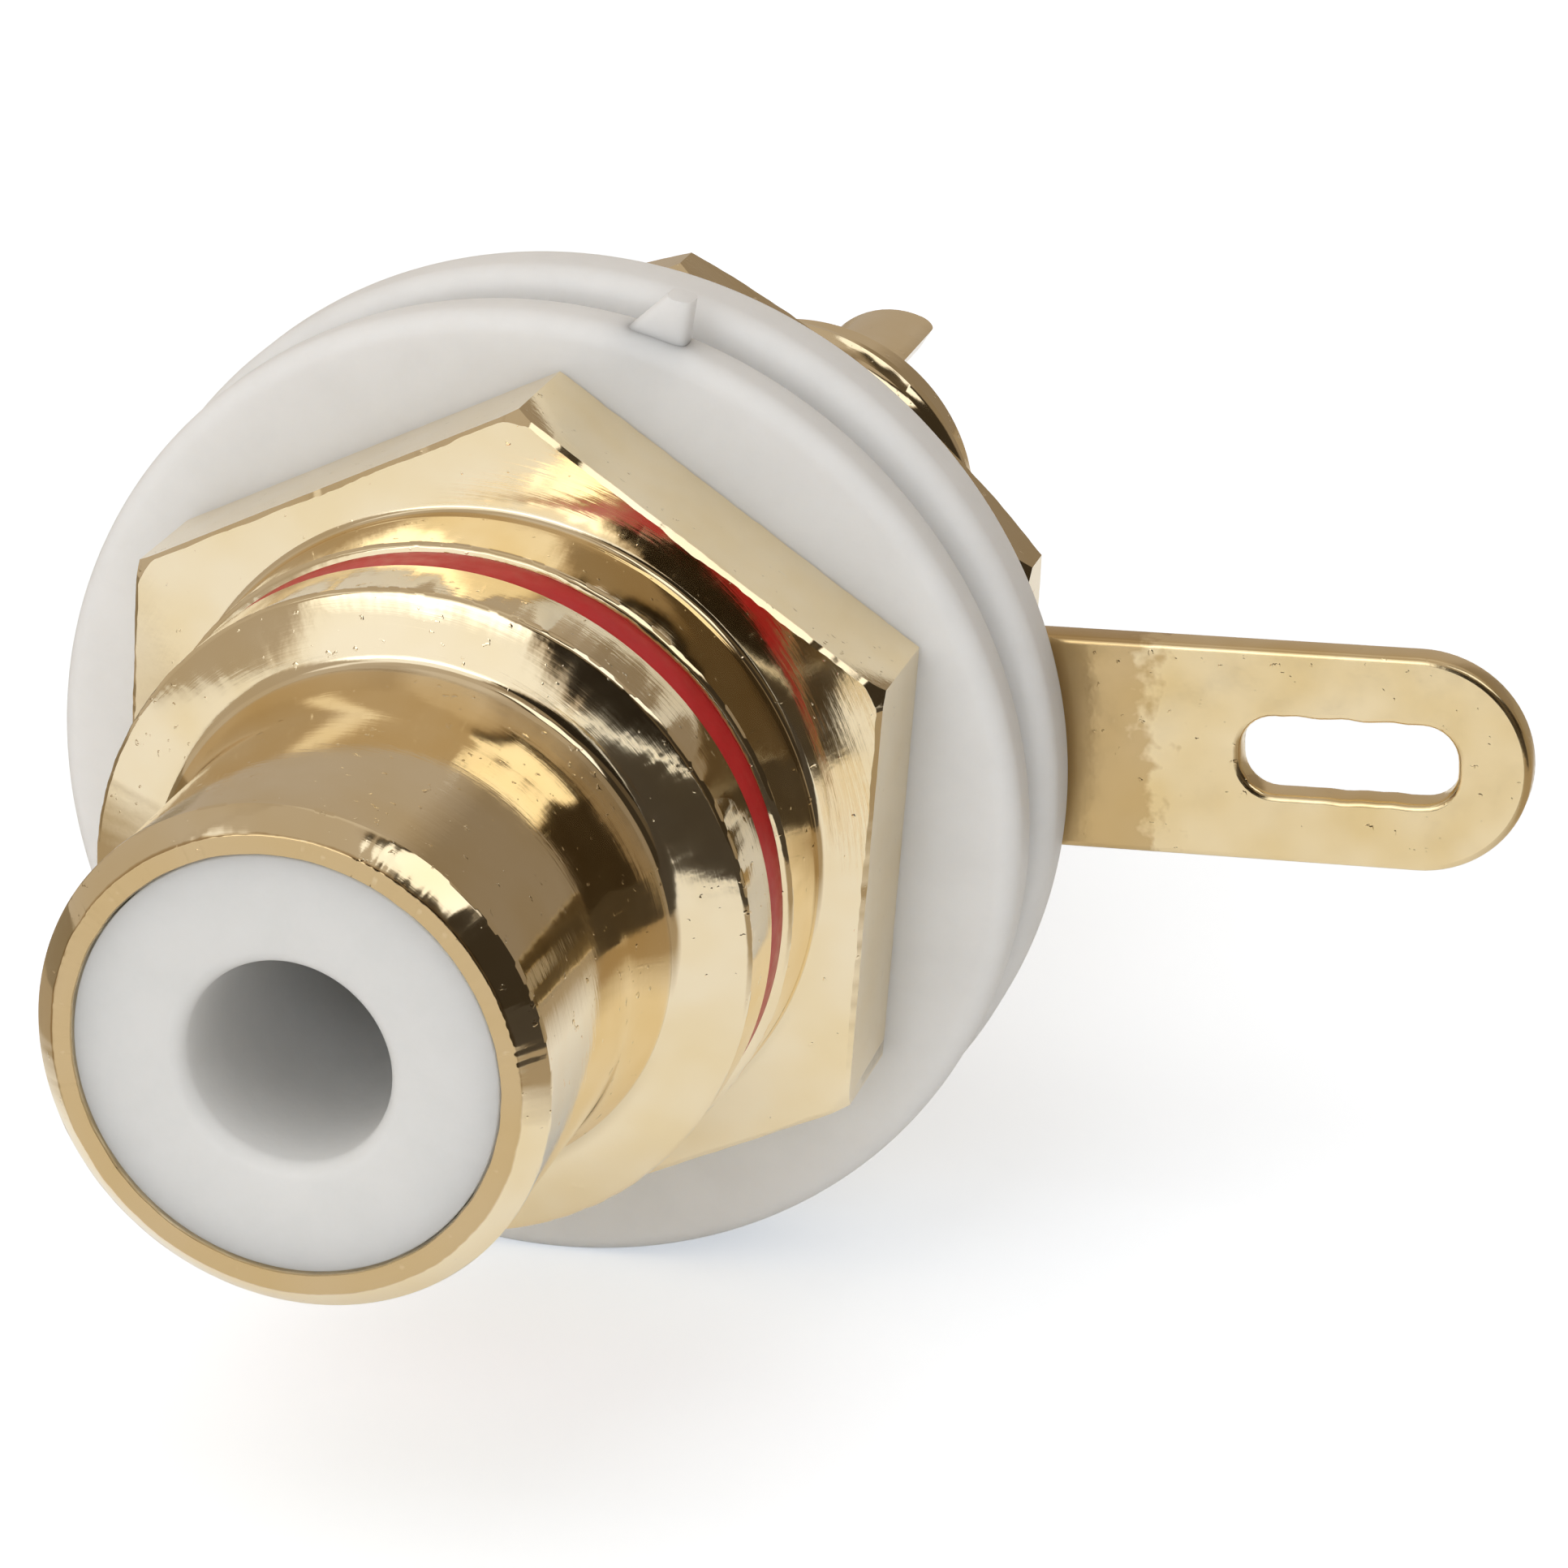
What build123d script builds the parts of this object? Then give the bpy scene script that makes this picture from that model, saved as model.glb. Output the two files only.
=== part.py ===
from build123d import *
from math import cos, radians, sin, sqrt
import os

# Panel-mount phono socket with a hex flange, insulating washers, ground lug and nut.
# Millimetres. The axis of the socket is the Y axis: the plug comes in at -Y, the solder cup points to +Y.
# +X runs along the ground lug and +Z is up.
# The origin is on the axis in the panel seat, the rear face of the front washer.

# Clearances
press_gap = 0.02
ring_gap = 0.05
thread_gap = 0.05

# Centre contact
pin_hole_radius = 1.66
spring_closing = 0.16
spring_wall = 0.5
spring_end_gap = 0.2
spring_side_gap = 0.2
spring_seat_depth = 2.5
spring_solid_length = 2.0
slit_width = 0.4
rod_radius = 1.85
rod_protrusion = 1.5
cup_length = 5.2
cup_radius = 1.7
cup_wall = 0.5
cup_depth = 3.6
cup_open_length = 2.9
cup_cut_offset = 0.2
cup_side_angle = 138.65
cup_corner_round = 0.35

# Insulators inside the shell
insulator_recess = 0.05
pin_hole_length = 6.0
pin_hole_rounding = 0.25
mouth_wall = 1.77
rear_insulator_wall = 0.66
rear_insulator_recess = 0.4

# Turned shell, plug side
shell_wall = 0.7
rim_bevel_width = 0.37
rim_bevel_length = 0.35
rim_land_length = 0.15
rim_step = 0.04
barrel_length = 3.85
cove_length = 1.65
cove_rise = 0.39

# Turned shell, collars and colour ring
front_collar_height = 1.1
front_collar_length = 1.22
collar_bevel = 0.12
ring_groove_depth = 0.7
ring_groove_width = 0.76
ring_recess = 0.04
rear_collar_rise = 0.1
rear_collar_length = 1.62
rear_collar_fillet = 0.15

# Turned shell, flange and threaded shank
flange_across_flats = 13.0
flange_thickness = 2.4
flange_corner_angle = 23.45
flange_corner_bevel = 0.36
shank_wall = 1.3
thread_length = 15.1
thread_pitch = 0.75
thread_depth = 0.42
thread_crest = 0.1
tip_relief = 0.5
tip_length = 1.9
tip_bevel = 0.3

# The pair of washers
washer_radius = 8.65
washer_rounding = 0.38

# Front washer with its shoulder and moulding gate stub
front_washer_thickness = 1.2
front_washer_play = 0.35
washer_rest_gap = 0.034
washer_rest_angle = 235.3
shoulder_wall = 0.65
shoulder_length = 1.2
gate_angle = 73.3
gate_base_width = 1.3
gate_top_width = 0.45
gate_lean = 0.32
gate_height = 0.74
gate_thickness = 0.6

# Rear washer
rear_washer_extra_radius = 0.05
rear_washer_thickness = 1.4
rear_washer_play = 0.3
recess_gap = 0.1
recess_depth = 0.75

# Ground lug
lug_thickness = 0.6
lug_play = 0.3
lug_rest_gap = 0.05
lug_ring_width = 2.2
lug_tab_width = 3.87
lug_reach = 16.6
lug_slot_length = 3.73
lug_slot_width = 1.4
lug_slot_end_gap = 1.24
lug_slot_rounding = 0.6

# Hex nut
nut_across_flats = 14.0
nut_thickness = 3.2
nut_corner_angle = 19.85
nut_corner_bevel = 1.18

# Radii that follow, from the contact outwards
plug_bore_radius = pin_hole_radius + mouth_wall + press_gap
rim_radius = plug_bore_radius + shell_wall
barrel_radius = rim_radius - rim_step
cove_radius = barrel_radius + cove_rise
front_collar_radius = cove_radius + front_collar_height
groove_radius = front_collar_radius - ring_groove_depth
rear_collar_radius = front_collar_radius + rear_collar_rise
spring_inner_radius = pin_hole_radius - spring_closing
spring_radius = spring_inner_radius + spring_wall
spring_seat_radius = spring_radius + press_gap
rear_bore_radius = spring_seat_radius + rear_insulator_wall + press_gap
thread_radius = rear_bore_radius + shank_wall
rear_washer_radius = washer_radius + rear_washer_extra_radius

# Places along the axis that follow, from the panel seat outwards
flange_rear = -front_washer_thickness
flange_front = flange_rear - flange_thickness
groove_rear = flange_front - rear_collar_length
groove_front = groove_rear - ring_groove_width
collar_front = groove_front - front_collar_length
barrel_rear = collar_front - cove_length
barrel_front = barrel_rear - barrel_length
front_end = barrel_front - rim_land_length - rim_bevel_length
thread_end = flange_rear + thread_length
shank_end = thread_end + tip_length
washer_gap = shoulder_length - recess_depth
lug_front = washer_gap + rear_washer_thickness
nut_front = lug_front + lug_thickness
spring_front = front_end + pin_hole_length + spring_end_gap
spring_rear = flange_rear + spring_seat_depth
rod_end = shank_end + rod_protrusion
cup_end = rod_end + cup_length


def facing_plug(y):
    """Sketch plane across the axis at y, seen from the plug side: its x is X and its y is Z."""
    return Plane(origin=(0, y, 0), x_dir=(1, 0, 0), z_dir=(0, -1, 0))


def bar(outline, front, rear):
    """Prism of an X, Z outline between two places on the axis."""
    return extrude(facing_plug(rear) * outline, rear - front)


def turned(corners, roundings=()):
    """Solid turned about the Y axis from (radius, y) corners; roundings pairs a corner with a radius."""
    with BuildSketch(Plane.XY) as section:
        with BuildLine():
            Polyline(*corners, close=True)
        make_face()
        for corner, radius in roundings:
            fillet(section.vertices().sort_by_distance(corner)[0], radius)
    return revolve(section.sketch, Axis.Y)


def tube(inner, outer, front, rear):
    """Plain ring or bush between two places on the axis."""
    return turned([(inner, front), (outer, front), (outer, rear), (inner, rear)])


def hexagon_corner(across_flats):
    """Radius of a regular hexagon's corners."""
    return across_flats / sqrt(3)


def hexagon(across_flats, corner_angle):
    """Hexagon outline with one corner at the given angle from X towards Z."""
    return RegularPolygon(across_flats / 2, 6, major_radius=False, rotation=corner_angle)


def bevelled_disc(corner_radius, bevel, front, rear, both_faces):
    """Turned envelope that cuts the corners of a hexagon back at 45 degrees."""
    face_radius = corner_radius - bevel
    rear_corners = [(corner_radius, rear)]
    if both_faces:
        rear_corners = [(corner_radius, rear - bevel), (face_radius, rear)]
    return turned([(0, front), (face_radius, front), (corner_radius, front + bevel), *rear_corners, (0, rear)])


def thread_corners():
    """Corners of the thread's grooves, drawn as rings from the flange to the relieved tip."""
    groove_width = thread_pitch - thread_crest
    first = flange_rear + thread_crest
    corners = []
    for turn in range(int((thread_end - tip_relief - first) / thread_pitch)):
        start = first + turn * thread_pitch
        corners.append((thread_radius, start))
        corners.append((thread_radius - thread_depth, start + groove_width / 2))
        corners.append((thread_radius, start + groove_width))
    return corners


def shell_profile():
    """Outline of the turned shell from the plug end to the shank tip, as a solid blank."""
    with BuildSketch(Plane.XY) as section:
        with BuildLine():
            Polyline(
                (0, front_end),
                (rim_radius - rim_bevel_width, front_end),
                (rim_radius, front_end + rim_bevel_length),
                (rim_radius, barrel_front),
                (barrel_radius, barrel_front),
                (barrel_radius, barrel_rear),
            )
            TangentArc((barrel_radius, barrel_rear), (cove_radius, collar_front), tangent=(0, 1))
            Polyline(
                (cove_radius, collar_front),
                (front_collar_radius - collar_bevel, collar_front),
                (front_collar_radius, collar_front + collar_bevel),
                (front_collar_radius, groove_front),
                (groove_radius, groove_front),
                (groove_radius, groove_rear),
                (rear_collar_radius - collar_bevel, groove_rear),
                (rear_collar_radius, groove_rear + collar_bevel),
                (rear_collar_radius, flange_front - rear_collar_fillet),
            )
            RadiusArc(
                (rear_collar_radius, flange_front - rear_collar_fillet),
                (rear_collar_radius + rear_collar_fillet, flange_front),
                -rear_collar_fillet,
            )
            Polyline(
                (rear_collar_radius + rear_collar_fillet, flange_front),
                (rear_collar_radius + rear_collar_fillet, flange_rear),
                (thread_radius, flange_rear),
                *thread_corners(),
                (thread_radius, thread_end - tip_relief),
                (thread_radius - tip_relief, thread_end),
                (thread_radius - tip_relief, shank_end - tip_bevel),
                (thread_radius - tip_relief - tip_bevel, shank_end),
                (0, shank_end),
                (0, front_end),
            )
        make_face()
    return section.sketch


def socket_shell():
    """One turned piece: plug barrel, two collars, hex flange and threaded shank, bored through."""
    corner_radius = hexagon_corner(flange_across_flats)
    flange = bar(hexagon(flange_across_flats, flange_corner_angle), flange_front, flange_rear)
    flange &= bevelled_disc(corner_radius, flange_corner_bevel, flange_front, flange_rear, False)
    body = revolve(shell_profile(), Axis.Y) + flange
    body -= bar(Circle(plug_bore_radius), front_end, flange_rear)
    body -= bar(Circle(rear_bore_radius), flange_rear, shank_end)
    return body


def colour_ring():
    """Coloured plastic ring in the groove between the two collars."""
    outer = front_collar_radius - ring_recess
    return tube(groove_radius + ring_gap, outer, groove_front, groove_rear)


def front_insulator():
    """White bush in the barrel: a pin hole in front and a wider chamber round the spring contact."""
    radius = plug_bore_radius - press_gap
    chamber_radius = spring_radius + spring_side_gap
    front = front_end + insulator_recess
    chamber_front = front_end + pin_hole_length
    corners = [
        (pin_hole_radius, front),
        (radius, front),
        (radius, flange_rear),
        (chamber_radius, flange_rear),
        (chamber_radius, chamber_front),
        (pin_hole_radius, chamber_front),
    ]
    return turned(corners, [((pin_hole_radius, front), pin_hole_rounding)])


def rear_insulator():
    """White bush in the shank, which holds the rear of the contact."""
    radius = rear_bore_radius - press_gap
    rear = shank_end - rear_insulator_recess
    bush = tube(rod_radius + press_gap, radius, flange_rear, rear)
    return bush - bar(Circle(spring_seat_radius), flange_rear, spring_rear)


def contact_rod():
    """Solid rod whose end is bored and opened on one side as a solder cup."""
    rod = bar(Circle(rod_radius), spring_rear - spring_solid_length, rod_end)
    rod += bar(Circle(cup_radius), rod_end, cup_end)
    rod -= bar(Circle(cup_radius - cup_wall), cup_end - cup_depth, cup_end)
    towards_tongue = (cos(radians(cup_side_angle)), 0, sin(radians(cup_side_angle)))
    across_tongue = (sin(radians(cup_side_angle)), 0, -cos(radians(cup_side_angle)))
    # Plane through the axis at the cup's end, whose x runs across the tongue and y towards the end
    cut_plane = Plane(origin=(0, cup_end, 0), x_dir=across_tongue, z_dir=towards_tongue)
    window = Rectangle(2 * cup_radius, cup_open_length, align=(Align.CENTER, Align.MAX))
    rod -= extrude(cut_plane.offset(cup_cut_offset) * window, -2 * cup_radius)
    end_corners = window.vertices().group_by(Axis.Y)[-1]
    corner_waste = window - fillet(end_corners, cup_corner_round)
    return rod - extrude(cut_plane * corner_waste, cup_radius)


def centre_contact():
    """Sprung socket for the plug's pin, with four leaves, and the rod that carries the solder cup."""
    spring_base = spring_rear - spring_solid_length
    contact = bar(Circle(spring_radius), spring_front, spring_rear) + contact_rod()
    contact -= bar(Circle(spring_inner_radius), spring_front, spring_rear - spring_solid_length / 2)
    for across in (0, 90):
        slit = Rectangle(2 * spring_radius, slit_width, rotation=across)
        contact -= bar(slit, spring_front, spring_base)
    return contact


def front_washer():
    """White shoulder washer between flange and panel, resting off centre, with its gate stub."""
    hole_radius = thread_radius + front_washer_play
    shoulder_radius = hole_radius + shoulder_wall
    corners = [
        (hole_radius, flange_rear),
        (washer_radius, flange_rear),
        (washer_radius, 0),
        (shoulder_radius, 0),
        (shoulder_radius, shoulder_length),
        (hole_radius, shoulder_length),
    ]
    rim_corners = [(corners[1], washer_rounding), (corners[2], washer_rounding)]
    washer = turned(corners, rim_corners)
    root = washer_radius - washer_rounding
    tip = washer_radius + gate_height
    with BuildSketch() as stub:
        with BuildLine():
            Polyline(
                (root, -gate_base_width / 2),
                (tip, -gate_lean - gate_top_width / 2),
                (tip, -gate_lean + gate_top_width / 2),
                (root, gate_base_width / 2),
                close=True,
            )
        make_face()
    gate_front = flange_rear / 2 - gate_thickness / 2
    washer += bar(Rot(0, 0, gate_angle) * stub.sketch, gate_front, gate_front + gate_thickness)
    shift = front_washer_play - washer_rest_gap
    shift_x = shift * cos(radians(washer_rest_angle))
    shift_z = shift * sin(radians(washer_rest_angle))
    return Pos(shift_x, 0, shift_z) * washer


def rear_washer():
    """White washer behind the panel, recessed for the shoulder of the front washer."""
    front = washer_gap
    rear = lug_front
    washer_shift = front_washer_play - washer_rest_gap
    recess_radius = thread_radius + front_washer_play + shoulder_wall + washer_shift + recess_gap
    hole_radius = thread_radius + rear_washer_play
    corners = [
        (recess_radius, front),
        (rear_washer_radius, front),
        (rear_washer_radius, rear),
        (hole_radius, rear),
        (hole_radius, front + recess_depth),
        (recess_radius, front + recess_depth),
    ]
    return turned(corners, [(corners[1], washer_rounding), (corners[2], washer_rounding)])


def ground_lug():
    """Flat plated lug: a ring under the nut and a round-ended tab with a solder slot."""
    hole_radius = thread_radius + lug_play
    outline = Circle(hole_radius + lug_ring_width)
    tab_centre = lug_reach - lug_tab_width / 2
    outline += Pos(tab_centre / 2, 0) * Rectangle(tab_centre, lug_tab_width)
    outline += Pos(tab_centre, 0) * Circle(lug_tab_width / 2)
    outline -= Circle(hole_radius)
    slot_centre = lug_reach - lug_slot_end_gap - lug_slot_length / 2
    outline -= Pos(slot_centre, 0) * RectangleRounded(lug_slot_length, lug_slot_width, lug_slot_rounding)
    return Pos(0, 0, lug_play - lug_rest_gap) * bar(outline, lug_front, nut_front)


def hex_nut():
    """Hexagon nut that clamps the lug and washers, with both faces bevelled."""
    rear = nut_front + nut_thickness
    corner_radius = hexagon_corner(nut_across_flats)
    nut = bar(hexagon(nut_across_flats, nut_corner_angle), nut_front, rear)
    nut &= bevelled_disc(corner_radius, nut_corner_bevel, nut_front, rear, True)
    return nut - bar(Circle(thread_radius + thread_gap), nut_front, rear)


nodes = {
    "socket_shell": socket_shell(),
    "colour_ring": colour_ring(),
    "front_insulator": front_insulator(),
    "rear_insulator": rear_insulator(),
    "centre_contact": centre_contact(),
    "front_washer": front_washer(),
    "rear_washer": rear_washer(),
    "ground_lug": ground_lug(),
    "hex_nut": hex_nut(),
}

os.makedirs("parts", exist_ok=True)
for name, solid in nodes.items():
    export_step(solid, f"parts/{name}.step")
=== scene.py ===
from math import atan2, cos, pi, radians, sin, sqrt, tan, tau

import bpy
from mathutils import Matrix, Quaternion, Vector, noise


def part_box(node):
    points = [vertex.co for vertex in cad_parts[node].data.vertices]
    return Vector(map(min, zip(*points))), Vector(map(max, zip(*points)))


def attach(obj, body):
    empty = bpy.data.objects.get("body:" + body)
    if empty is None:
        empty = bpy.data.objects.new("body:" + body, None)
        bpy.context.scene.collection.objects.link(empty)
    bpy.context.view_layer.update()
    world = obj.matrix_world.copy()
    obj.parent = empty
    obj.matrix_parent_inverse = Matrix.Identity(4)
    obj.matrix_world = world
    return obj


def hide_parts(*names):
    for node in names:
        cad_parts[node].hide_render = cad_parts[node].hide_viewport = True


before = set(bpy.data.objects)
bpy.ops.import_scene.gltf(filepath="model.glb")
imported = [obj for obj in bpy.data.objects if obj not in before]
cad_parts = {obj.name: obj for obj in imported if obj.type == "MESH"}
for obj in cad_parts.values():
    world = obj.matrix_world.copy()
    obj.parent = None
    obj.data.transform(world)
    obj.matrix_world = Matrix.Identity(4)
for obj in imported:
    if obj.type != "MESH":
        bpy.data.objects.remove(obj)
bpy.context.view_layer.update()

# Looks of a gold-plated panel socket for a phono plug.
# Sizes are in millimetres and become metres when a mesh is made. The socket's axis is Y, with the plug
# end at -Y. Angles about the axis run from X towards Z.

MM = 0.001


def cad(node, axis, end):
    """A node's lowest (end 0) or highest (end 1) coordinate along an axis, in millimetres."""
    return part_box(node)[end]["XYZ".index(axis)] / MM


# Places along the axis, from the frame
front_end = cad("socket_shell", "Y", 0)
shank_end = cad("socket_shell", "Y", 1)
ring_front = cad("colour_ring", "Y", 0)
ring_rear = cad("colour_ring", "Y", 1)
flange_rear = cad("front_washer", "Y", 0)
shoulder_end = cad("front_washer", "Y", 1)
spacer_front = cad("rear_washer", "Y", 0)
lug_front = cad("ground_lug", "Y", 0)
nut_front = cad("hex_nut", "Y", 0)
nut_rear = cad("hex_nut", "Y", 1)
cup_end = cad("centre_contact", "Y", 1)
insulator_front = cad("front_insulator", "Y", 0)
bush_rear = cad("rear_insulator", "Y", 1)

# Turned shell
flange_thickness = 2.4
flange_front = flange_rear - flange_thickness
flange_across_flats = 13.0
flange_corner_angle = radians(23.45)
flange_corner_bevel = 0.13
rim_radius = 4.15
rim_bevel_width = 0.37
rim_bevel_length = 0.35
rim_land_length = 0.15
rim_edge_rounding = 0.07
rim_edge_unevenness = 0.012
rim_face_unevenness = 0.03
rim_bevel_unevenness = 0.006
barrel_radius = 4.11
barrel_length = 3.85
cove_length = 1.65
cove_radius = 4.5
cove_fillet = 0.12
collar_face_slope = 0.18
front_collar_radius = 5.6
front_collar_rear_bevel = 0.05
groove_radius = 4.9
rear_collar_radius = 5.7
collar_bevel = 0.08
collar_burr = 0.009
rear_collar_fillet = 0.15
plug_bore_radius = 3.45
plug_bore_bevel = (0.03, 0.05)
rear_bore_radius = 2.7
hexagon_edge_bevel = 0.08

# Thread
thread_radius = 4.0
thread_pitch = 0.75
thread_depth = 0.42
thread_flank_slope = 1.3
thread_crest_share = 0.15
thread_end = 13.9
tip_relief = 0.5
tip_bevel = 0.3
thread_rows_per_turn = 6

# Insulators
pin_hole_radius = 1.66
pin_hole_length = 6.0
pin_hole_rounding = 0.25
insulator_edge_rounding = 0.03
chamber_radius = 2.2
insulator_gap = 0.02
bush_rounding = 0.08
bush_bore_radius = 1.87
spring_seat_radius = 2.02
spring_seat_depth = 2.5

# Centre contact
spring_radius = 2.0
spring_bore_radius = 1.5
spring_front = -7.0
spring_rear = 1.3
spring_end_wall = 1.0
slit_end = -0.7
slit_width = 0.4
rod_radius = 1.85
rod_end = shank_end + 1.5
rod_edge_bevel = 0.06
blind_end_radius = 0.001
cup_radius = 1.7
cup_bore_radius = 1.2
cup_depth = 3.6
cup_open_length = 2.9
cup_cut_offset = 0.2
cup_side_angle = radians(138.65)
cup_corner_round = 0.35

# Washers
washer_radius = 8.65
washer_rounding = 0.38
washer_hole_radius = 4.35
shoulder_radius = 5.0
shoulder_rounding = 0.1
washer_shift_x = -0.18
washer_shift_z = -0.26
gate_angle = radians(73.3)
gate_base_width = 1.3
gate_top_width = 0.45
gate_lean = 0.32
gate_height = 0.74
gate_thickness = 0.6
gate_tear = 0.08
spacer_radius = 8.7
spacer_hole_radius = 4.3
spacer_recess_radius = 5.416
spacer_recess_depth = 0.75
spacer_edge_rounding = 0.05

# Ground lug
lug_hole_radius = 4.3
lug_ring_radius = 6.5
lug_tab_width = 3.87
lug_reach = 16.6
lug_shift_z = 0.25
lug_slot_length = 3.73
lug_slot_width = 1.4
lug_slot_end_gap = 1.24
lug_slot_rounding = 0.6
lug_slot_burr = 0.04
lug_edge_rounding = 0.12

# Hex nut
nut_across_flats = 14.0
nut_corner_angle = radians(19.85)
nut_corner_bevel = 1.18
nut_bore_radius = 4.05
nut_mouth_bevel = 0.3

# Mesh fineness
turned_segments = 480
contact_segments = 96
edge_steps = 4
fine_edge_steps = 8
cove_steps = 14
lug_ring_steps = 120
lug_side_steps = 24
lug_end_steps = 40
slot_side_steps = 20
sharp_angle = radians(32)


# Mesh building

def cross_section(corners, steps=edge_steps):
    """Closed outline through (radius, y, rounding) corners, with an arc at each rounded corner."""
    outline = []
    for i, (radius, y, rounding) in enumerate(corners):
        here = Vector((radius, y))
        if rounding == 0:
            outline.append((radius, y))
            continue
        towards_last = (Vector(corners[i - 1][:2]) - here).normalized()
        towards_next = (Vector(corners[(i + 1) % len(corners)][:2]) - here).normalized()
        half_angle = towards_last.angle(towards_next) / 2
        start = towards_last * rounding / tan(half_angle)
        end = towards_next * rounding / tan(half_angle)
        centre = (towards_last + towards_next).normalized() * rounding / sin(half_angle)
        for step in range(steps + 1):
            spoke = (start - centre).lerp(end - centre, step / steps).normalized() * rounding
            outline.append(tuple(here + centre + spoke))
    return outline


def turned(rows, segments=turned_segments, start=0.0):
    """Points and faces of rows turned about the axis, the last joined to the first.

    A row is (radius, y) or a function of the angle that gives it.
    """
    points = []
    for row in rows:
        for k in range(segments):
            angle = start + tau * k / segments
            radius, y = row(angle) if callable(row) else row
            points.append((radius * cos(angle), y, radius * sin(angle)))
    faces = []
    for i in range(len(rows)):
        this, following = i * segments, (i + 1) % len(rows) * segments
        for k in range(segments):
            after = (k + 1) % segments
            faces.append((this + k, following + k, following + after, this + after))
    return points, faces


def joined(*parts):
    """One set of points and faces from several."""
    points, faces = [], []
    for part_points, part_faces in parts:
        offset = len(points)
        points.extend(part_points)
        faces.extend(tuple(offset + index for index in face) for face in part_faces)
    return points, faces


def moved(part, x=0.0, z=0.0):
    """The same points and faces, shifted."""
    points, faces = part
    return [(px + x, py, pz + z) for px, py, pz in points], faces


def piece(name, part, material, body):
    """Object of the visual model that replaces the node of its name and rides on a body."""
    points, faces = part
    mesh = bpy.data.meshes.new(name)
    mesh.from_pydata([Vector(point) * MM for point in points], [], faces)
    mesh.shade_smooth()
    mesh.set_sharp_from_angle(angle=sharp_angle)
    mesh.materials.append(material)
    obj = bpy.data.objects.new(name + "_detail", mesh)
    bpy.context.scene.collection.objects.link(obj)
    weighting = obj.modifiers.new("flat faces stay flat", "WEIGHTED_NORMAL")
    weighting.keep_sharp = True
    weighting.weight = 100
    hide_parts(name)
    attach(obj, body)


def wander(angle, waves, seed):
    """Smooth noise between about -1 and 1 round the axis, with a number of waves in a turn."""
    reach = waves / tau
    return noise.noise(Vector((reach * cos(angle), reach * sin(angle), seed)))


def hexagon_radius(angle, across_flats, corner_angle):
    """Distance from the axis to a hexagon's side at an angle."""
    from_flat = (angle - corner_angle) % (pi / 3) - pi / 6
    return across_flats / 2 / cos(from_flat)


def hexagon_edge(y, inwards, across_flats, corner_angle, bevel, seed):
    """The two rows of a hexagon's edge at a face: the face's border and, beyond the bevel, the sides' border.

    inwards is the direction from the face into the body, 1 or -1. The corners are cut back by a 45 degree
    cone, and the whole edge carries a narrow, slightly ragged bevel left by the tool.
    """
    face_radius = across_flats / sqrt(3) - bevel

    def burr(angle):
        return hexagon_edge_bevel * (1 + 0.35 * wander(angle, 60, seed) + 0.3 * wander(angle, 230, seed + 9))

    def face_border(angle):
        radius = min(hexagon_radius(angle, across_flats, corner_angle), face_radius)
        return radius - burr(angle), y

    def side_border(angle):
        radius = hexagon_radius(angle, across_flats, corner_angle)
        cone_depth = max(0.0, radius - face_radius)
        return radius, y + inwards * (cone_depth + burr(angle + 1))

    return face_border, side_border


# Materials

def start_material(name, colour, roughness, metallic=0.0):
    """New material with its shader set up; gives the material, its node tree and the shader."""
    material = bpy.data.materials.new(name)
    material.use_nodes = True
    tree = material.node_tree
    shader = tree.nodes["Principled BSDF"]
    shader.inputs["Base Color"].default_value = (*colour, 1)
    shader.inputs["Roughness"].default_value = roughness
    shader.inputs["Metallic"].default_value = metallic
    return material, tree, shader


def add(tree, kind, **inputs):
    """New shader node.

    Inputs are values or links, by socket name with underscores or by number, and settings are in lower case.
    """
    node = tree.nodes.new(kind)
    for name, value in inputs.items():
        if hasattr(node, name):
            setattr(node, name, value)
            continue
        socket = node.inputs[int(name[1:])] if name[1:].isdigit() else node.inputs[name.replace("_", " ")]
        if isinstance(value, bpy.types.NodeSocket):
            tree.links.new(value, socket)
        else:
            socket.default_value = value
    return node


def millimetres(tree):
    """Position on the object in millimetres."""
    place = add(tree, "ShaderNodeTexCoord").outputs["Object"]
    scaled = add(tree, "ShaderNodeVectorMath", operation="SCALE", _0=place, Scale=1 / MM)
    return scaled.outputs["Vector"]


def turning_place(tree, place):
    """Vector of (distance from the axis, y, 0), along which tool marks of turning are laid."""
    split = add(tree, "ShaderNodeSeparateXYZ", Vector=place).outputs
    flat = add(tree, "ShaderNodeCombineXYZ", X=split["X"], Z=split["Z"])
    length = add(tree, "ShaderNodeVectorMath", operation="LENGTH", _0=flat.outputs["Vector"])
    return add(tree, "ShaderNodeCombineXYZ", X=length.outputs["Value"], Y=split["Y"]).outputs["Vector"]


def speckle(tree, place, scale, detail=3.0, roughness=0.5):
    """Noise value over a place, with its scale in waves per millimetre."""
    return add(
        tree, "ShaderNodeTexNoise", Vector=place, Scale=scale, Detail=detail, Roughness=roughness
    ).outputs["Fac"]


def ranged(tree, value, low, high, to_low, to_high):
    """Value mapped from one range to another, clamped."""
    return add(
        tree,
        "ShaderNodeMapRange",
        Value=value,
        From_Min=low,
        From_Max=high,
        To_Min=to_low,
        To_Max=to_high,
    ).outputs["Result"]


def bump(tree, height, depth, normal=None):
    """Bump normal from a height between 0 and 1 that stands for a depth in millimetres."""
    node = add(tree, "ShaderNodeBump", Height=height, Strength=1.0, Distance=depth * MM)
    if normal is not None:
        tree.links.new(normal, node.inputs["Normal"])
    return node.outputs["Normal"]


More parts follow.
